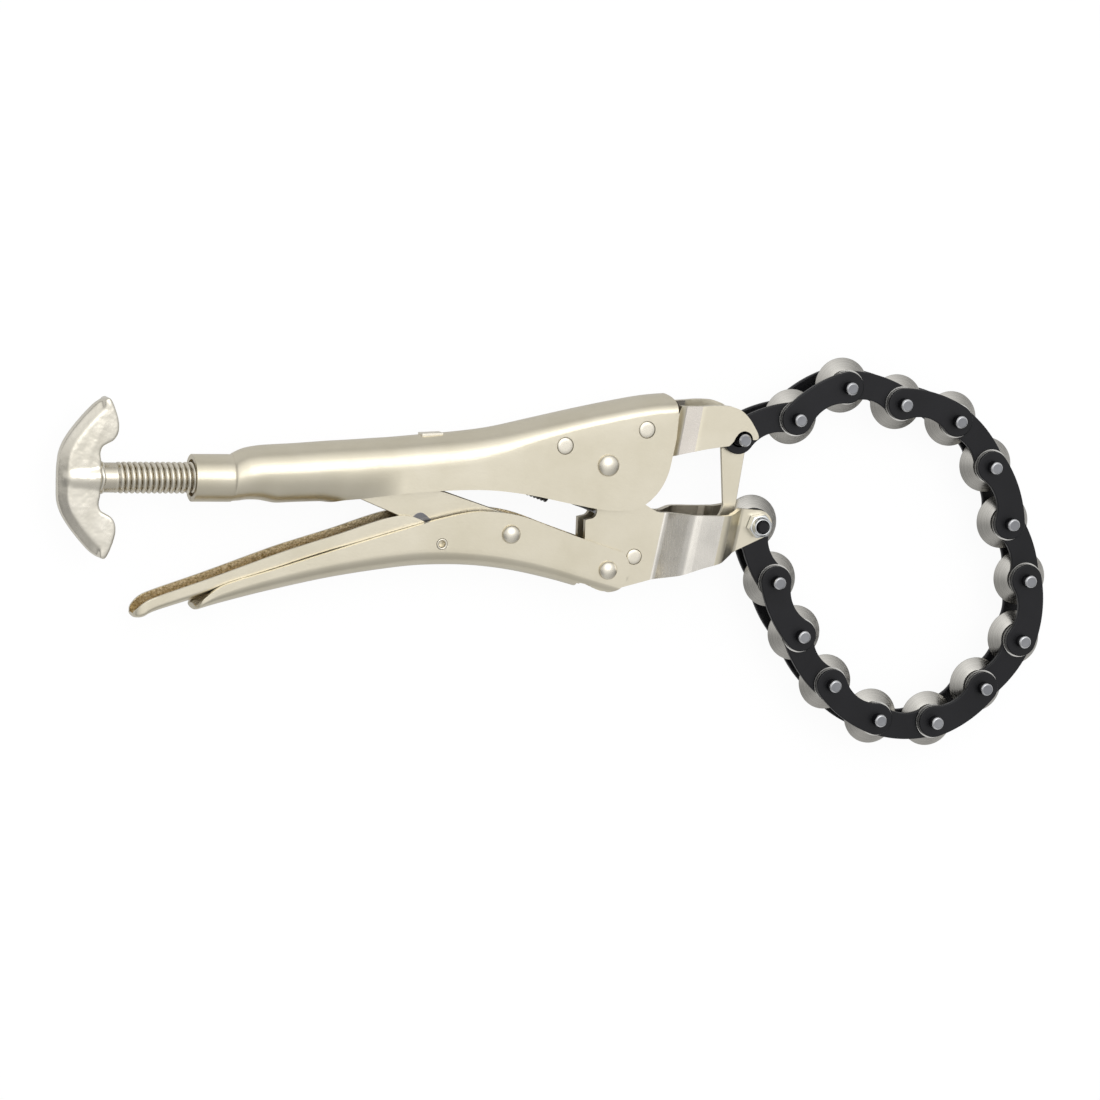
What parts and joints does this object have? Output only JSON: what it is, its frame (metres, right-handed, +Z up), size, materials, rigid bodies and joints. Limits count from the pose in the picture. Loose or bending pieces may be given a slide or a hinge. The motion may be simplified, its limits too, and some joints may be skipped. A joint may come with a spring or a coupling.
{
  "type": "chain pipe cutter",
  "caption": "Locking plier-handled chain pipe cutter: a loop of linked cutting wheels hooked between toggle-locked jaws grips and scores round a pipe.",
  "frame": {"origin": "under the middle of the tool as it lies flat, on the surface it lies on", "axes": "+X along the handles towards the chain loop, +Y from the lever towards the shell's back, +Z up across the tool, along all its pivots"},
  "size_m": [0.3352, 0.1274, 0.0272],
  "materials": {
    "satin_nickel": "satin nickel plate with a warm cast",
    "bright_rivet": "bright plated rivet heads",
    "yellow_passivated": "golden passivated sheet",
    "thread_steel": "plain turned and threaded steel",
    "zinc_plate": "bright zinc plate",
    "pin_steel": "plain steel",
    "wheel_steel": "ground hardened steel",
    "blackened_steel": "blackened satin"
  },
  "bodies": {
    "upper_handle": {"upper_shell": "satin_nickel", "upper_jaw_front": "satin_nickel", "upper_jaw_rear": "satin_nickel", "upper_rivet_rear": "bright_rivet", "upper_rivet_front": "bright_rivet", "jaw_pivot_rivet": "bright_rivet", "return_spring": "pin_steel"},
    "screw": {"adjusting_screw": "thread_steel"},
    "wing": {"wing_head": "satin_nickel"},
    "lower_jaw": {"lower_jaw_front": "satin_nickel", "lower_jaw_rear": "satin_nickel", "lower_jaw_rivet": "bright_rivet", "guide_tongue": "satin_nickel", "chain_bolt": "zinc_plate", "chain_nut": "zinc_plate"},
    "lever": {"lever": "satin_nickel", "lever_pivot_rivet": "bright_rivet", "toggle_rivet": "bright_rivet", "release_pin": "bright_rivet"},
    "toggle_link": {"toggle_link": "satin_nickel"},
    "release_lever": {"release_lever": "yellow_passivated"},
    "link_01": {"inner_link_01": "blackened_steel"},
    "link_02": {"outer_link_02": "blackened_steel"},
    "link_03": {"inner_link_03": "blackened_steel"},
    "link_04": {"outer_link_04": "blackened_steel"},
    "link_05": {"inner_link_05": "blackened_steel"},
    "link_06": {"outer_link_06": "blackened_steel"},
    "link_07": {"inner_link_07": "blackened_steel"},
    "link_08": {"outer_link_08": "blackened_steel"},
    "link_09": {"inner_link_09": "blackened_steel"},
    "link_10": {"outer_link_10": "blackened_steel"},
    "link_11": {"inner_link_11": "blackened_steel"},
    "link_12": {"outer_link_12": "blackened_steel"},
    "link_13": {"inner_link_13": "blackened_steel"},
    "link_14": {"outer_link_14": "blackened_steel"},
    "link_15": {"inner_link_15": "blackened_steel", "hook_pin": "pin_steel"},
    "wheel_01": {"cutter_wheel_01": "wheel_steel"},
    "wheel_02": {"cutter_wheel_02": "wheel_steel"},
    "wheel_03": {"cutter_wheel_03": "wheel_steel"},
    "wheel_04": {"cutter_wheel_04": "wheel_steel"},
    "wheel_05": {"cutter_wheel_05": "wheel_steel"},
    "wheel_06": {"cutter_wheel_06": "wheel_steel"},
    "wheel_07": {"cutter_wheel_07": "wheel_steel"},
    "wheel_08": {"cutter_wheel_08": "wheel_steel"},
    "wheel_09": {"cutter_wheel_09": "wheel_steel"},
    "wheel_10": {"cutter_wheel_10": "wheel_steel"},
    "wheel_11": {"cutter_wheel_11": "wheel_steel"},
    "wheel_12": {"cutter_wheel_12": "wheel_steel"},
    "wheel_13": {"cutter_wheel_13": "wheel_steel"},
    "wheel_14": {"cutter_wheel_14": "wheel_steel"},
    "wheel_15": {"cutter_wheel_15": "wheel_steel"}
  },
  "joints": [
    {"name": "screw_travel", "type": "slide", "parent": "upper_handle", "child": "screw", "axis": [-1, 0, 0], "range_m": [0, 0.0182]},
    {"name": "wing_turn", "type": "hinge", "parent": "screw", "child": "wing", "pos_m": [-0.12103, 0.02378, 0.0136], "axis": [-1, 0, 0], "range_deg": [0, 3600]},
    {"name": "lower_jaw_opening", "type": "hinge", "parent": "upper_handle", "child": "lower_jaw", "pos_m": [0.01107, 0.02948, 0.0136], "axis": [0, 0, -1], "range_deg": [0, 13], "deforming": ["return_spring"]},
    {"name": "lever_opening", "type": "hinge", "parent": "lower_jaw", "child": "lever", "pos_m": [0.01327, -0.00462, 0.0136], "axis": [0, 0, 1], "range_deg": [0, 43.1]},
    {"name": "toggle_fold", "type": "hinge", "parent": "lever", "child": "toggle_link", "pos_m": [-0.01983, 0.00698, 0.0136], "axis": [0, 0, -1], "range_deg": [0, 50.4]},
    {"name": "release_press", "type": "hinge", "parent": "lever", "child": "release_lever", "pos_m": [-0.04273, 0.00378, 0.0136], "axis": [0, 0, -1], "range_deg": [0, 8]},
    {"name": "chain_hinge_01", "type": "hinge", "parent": "lower_jaw", "child": "link_01", "pos_m": [0.06357, 0.00998, 0.0136], "axis": [0, 0, 1], "range_deg": [-24, 24]},
    {"name": "chain_hinge_02", "type": "hinge", "parent": "link_01", "child": "link_02", "pos_m": [0.07107, -0.00857, 0.0136], "axis": [0, 0, 1], "range_deg": [-4.2, 4.2]},
    {"name": "chain_hinge_03", "type": "hinge", "parent": "link_02", "child": "link_03", "pos_m": [0.08052, -0.02619, 0.0136], "axis": [0, 0, 1], "range_deg": [-6.6, 6.6]},
    {"name": "chain_hinge_04", "type": "hinge", "parent": "link_03", "child": "link_04", "pos_m": [0.09219, -0.04243, 0.0136], "axis": [0, 0, 1], "range_deg": [-14.2, 14.2]},
    {"name": "chain_hinge_05", "type": "hinge", "parent": "link_04", "child": "link_05", "pos_m": [0.10859, -0.05388, 0.0136], "axis": [0, 0, 1], "range_deg": [-16.4, 16.4]},
    {"name": "chain_hinge_06", "type": "hinge", "parent": "link_05", "child": "link_06", "pos_m": [0.12857, -0.05485, 0.0136], "axis": [0, 0, 1], "range_deg": [-2.5, 2.5]},
    {"name": "chain_hinge_07", "type": "hinge", "parent": "link_06", "child": "link_07", "pos_m": [0.14519, -0.04373, 0.0136], "axis": [0, 0, 1], "range_deg": [-7.1, 7.1]},
    {"name": "chain_hinge_08", "type": "hinge", "parent": "link_07", "child": "link_08", "pos_m": [0.15772, -0.02814, 0.0136], "axis": [0, 0, 1], "range_deg": [-19.5, 19.5]},
    {"name": "chain_hinge_09", "type": "hinge", "parent": "link_08", "child": "link_09", "pos_m": [0.15863, -0.00816, 0.0136], "axis": [0, 0, 1], "range_deg": [-11.7, 11.7]},
    {"name": "chain_hinge_10", "type": "hinge", "parent": "link_09", "child": "link_10", "pos_m": [0.15152, 0.01053, 0.0136], "axis": [0, 0, 1], "range_deg": [-1.5, 1.5]},
    {"name": "chain_hinge_11", "type": "hinge", "parent": "link_10", "child": "link_11", "pos_m": [0.14436, 0.02921, 0.0136], "axis": [0, 0, 1], "range_deg": [-2.1, 2.1]},
    {"name": "chain_hinge_12", "type": "hinge", "parent": "link_11", "child": "link_12", "pos_m": [0.13116, 0.04423, 0.0136], "axis": [0, 0, 1], "range_deg": [-18, 18]},
    {"name": "chain_hinge_13", "type": "hinge", "parent": "link_12", "child": "link_13", "pos_m": [0.11189, 0.04961, 0.0136], "axis": [0, 0, 1], "range_deg": [-6.7, 6.7]},
    {"name": "chain_hinge_14", "type": "hinge", "parent": "link_13", "child": "link_14", "pos_m": [0.09259, 0.05485, 0.0136], "axis": [0, 0, 1], "range_deg": [-8.1, 8.1]},
    {"name": "chain_hinge_15", "type": "hinge", "parent": "link_14", "child": "link_15", "pos_m": [0.0755, 0.04446, 0.0136], "axis": [0, 0, 1], "range_deg": [-8.6, 8.6]},
    {"name": "wheel_spin_01", "type": "hinge", "parent": "link_01", "child": "wheel_01", "pos_m": [0.06357, 0.00998, 0.0136], "axis": [0, 0, 1], "continuous": true},
    {"name": "wheel_spin_02", "type": "hinge", "parent": "link_01", "child": "wheel_02", "pos_m": [0.07107, -0.00857, 0.0136], "axis": [0, 0, 1], "continuous": true},
    {"name": "wheel_spin_03", "type": "hinge", "parent": "link_03", "child": "wheel_03", "pos_m": [0.08052, -0.02619, 0.0136], "axis": [0, 0, 1], "continuous": true},
    {"name": "wheel_spin_04", "type": "hinge", "parent": "link_03", "child": "wheel_04", "pos_m": [0.09219, -0.04243, 0.0136], "axis": [0, 0, 1], "continuous": true},
    {"name": "wheel_spin_05", "type": "hinge", "parent": "link_05", "child": "wheel_05", "pos_m": [0.10859, -0.05388, 0.0136], "axis": [0, 0, 1], "continuous": true},
    {"name": "wheel_spin_06", "type": "hinge", "parent": "link_05", "child": "wheel_06", "pos_m": [0.12857, -0.05485, 0.0136], "axis": [0, 0, 1], "continuous": true},
    {"name": "wheel_spin_07", "type": "hinge", "parent": "link_07", "child": "wheel_07", "pos_m": [0.14519, -0.04373, 0.0136], "axis": [0, 0, 1], "continuous": true},
    {"name": "wheel_spin_08", "type": "hinge", "parent": "link_07", "child": "wheel_08", "pos_m": [0.15772, -0.02814, 0.0136], "axis": [0, 0, 1], "continuous": true},
    {"name": "wheel_spin_09", "type": "hinge", "parent": "link_09", "child": "wheel_09", "pos_m": [0.15863, -0.00816, 0.0136], "axis": [0, 0, 1], "continuous": true},
    {"name": "wheel_spin_10", "type": "hinge", "parent": "link_09", "child": "wheel_10", "pos_m": [0.15152, 0.01053, 0.0136], "axis": [0, 0, 1], "continuous": true},
    {"name": "wheel_spin_11", "type": "hinge", "parent": "link_11", "child": "wheel_11", "pos_m": [0.14436, 0.02921, 0.0136], "axis": [0, 0, 1], "continuous": true},
    {"name": "wheel_spin_12", "type": "hinge", "parent": "link_11", "child": "wheel_12", "pos_m": [0.13116, 0.04423, 0.0136], "axis": [0, 0, 1], "continuous": true},
    {"name": "wheel_spin_13", "type": "hinge", "parent": "link_13", "child": "wheel_13", "pos_m": [0.11189, 0.04961, 0.0136], "axis": [0, 0, 1], "continuous": true},
    {"name": "wheel_spin_14", "type": "hinge", "parent": "link_13", "child": "wheel_14", "pos_m": [0.09259, 0.05485, 0.0136], "axis": [0, 0, 1], "continuous": true},
    {"name": "wheel_spin_15", "type": "hinge", "parent": "link_15", "child": "wheel_15", "pos_m": [0.0755, 0.04446, 0.0136], "axis": [0, 0, 1], "continuous": true}
  ],
  "couplings": [
    {"joint": "screw_travel", "follows": "wing_turn", "m_per_rad": 0.00028875},
    {"joint": "lever_opening", "follows": "lower_jaw_opening", "ratio": 3.303},
    {"joint": "toggle_fold", "follows": "lower_jaw_opening", "ratio": 3.866},
    {"joint": "chain_hinge_02", "follows": "chain_hinge_01", "ratio": -0.171},
    {"joint": "chain_hinge_03", "follows": "chain_hinge_01", "ratio": -0.273},
    {"joint": "chain_hinge_04", "follows": "chain_hinge_01", "ratio": -0.589},
    {"joint": "chain_hinge_05", "follows": "chain_hinge_01", "ratio": -0.68},
    {"joint": "chain_hinge_06", "follows": "chain_hinge_01", "ratio": -0.101},
    {"joint": "chain_hinge_07", "follows": "chain_hinge_01", "ratio": 0.292},
    {"joint": "chain_hinge_08", "follows": "chain_hinge_01", "ratio": 0.809},
    {"joint": "chain_hinge_09", "follows": "chain_hinge_01", "ratio": 0.484},
    {"joint": "chain_hinge_10", "follows": "chain_hinge_01", "ratio": 0.062},
    {"joint": "chain_hinge_11", "follows": "chain_hinge_01", "ratio": -0.084},
    {"joint": "chain_hinge_12", "follows": "chain_hinge_01", "ratio": -0.749},
    {"joint": "chain_hinge_13", "follows": "chain_hinge_01", "ratio": -0.279},
    {"joint": "chain_hinge_14", "follows": "chain_hinge_01", "ratio": -0.334},
    {"joint": "chain_hinge_15", "follows": "chain_hinge_01", "ratio": -0.355}
  ]
}
